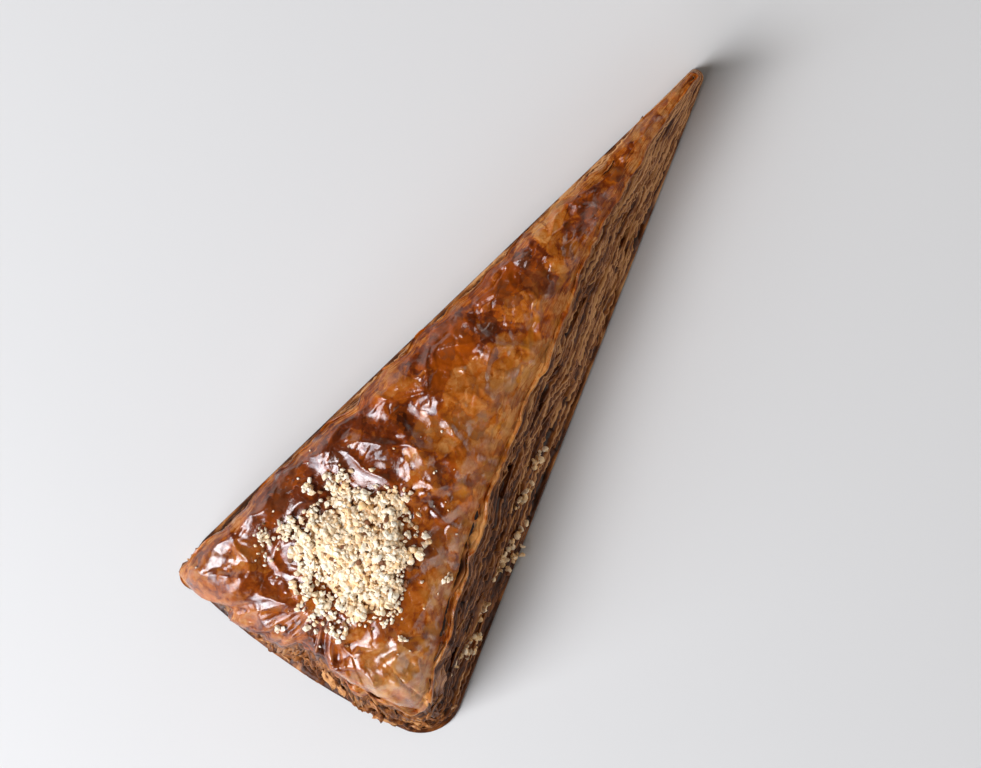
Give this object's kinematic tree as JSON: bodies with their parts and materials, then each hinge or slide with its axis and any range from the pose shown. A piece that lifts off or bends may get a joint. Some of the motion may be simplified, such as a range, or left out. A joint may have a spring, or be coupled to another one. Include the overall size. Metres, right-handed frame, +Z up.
{
  "type": "baklava piece",
  "caption": "Long wedge of dark chocolate baklava with a glossy wrinkled top, fine layered sides and chopped nuts heaped near its wide end",
  "frame": {"origin": "centre of the bounding box at its base, on the resting plane", "axes": "+X along the slice toward its narrow tip, +Y toward its upright side, +Z up; the leaning side faces -Y"},
  "size_m": [0.1527, 0.0656, 0.044],
  "materials": {
    "baklava_wedge": "glossy"
  },
  "bodies": {
    "root": {"baklava_wedge": "baklava_wedge"}
  },
  "joints": []
}
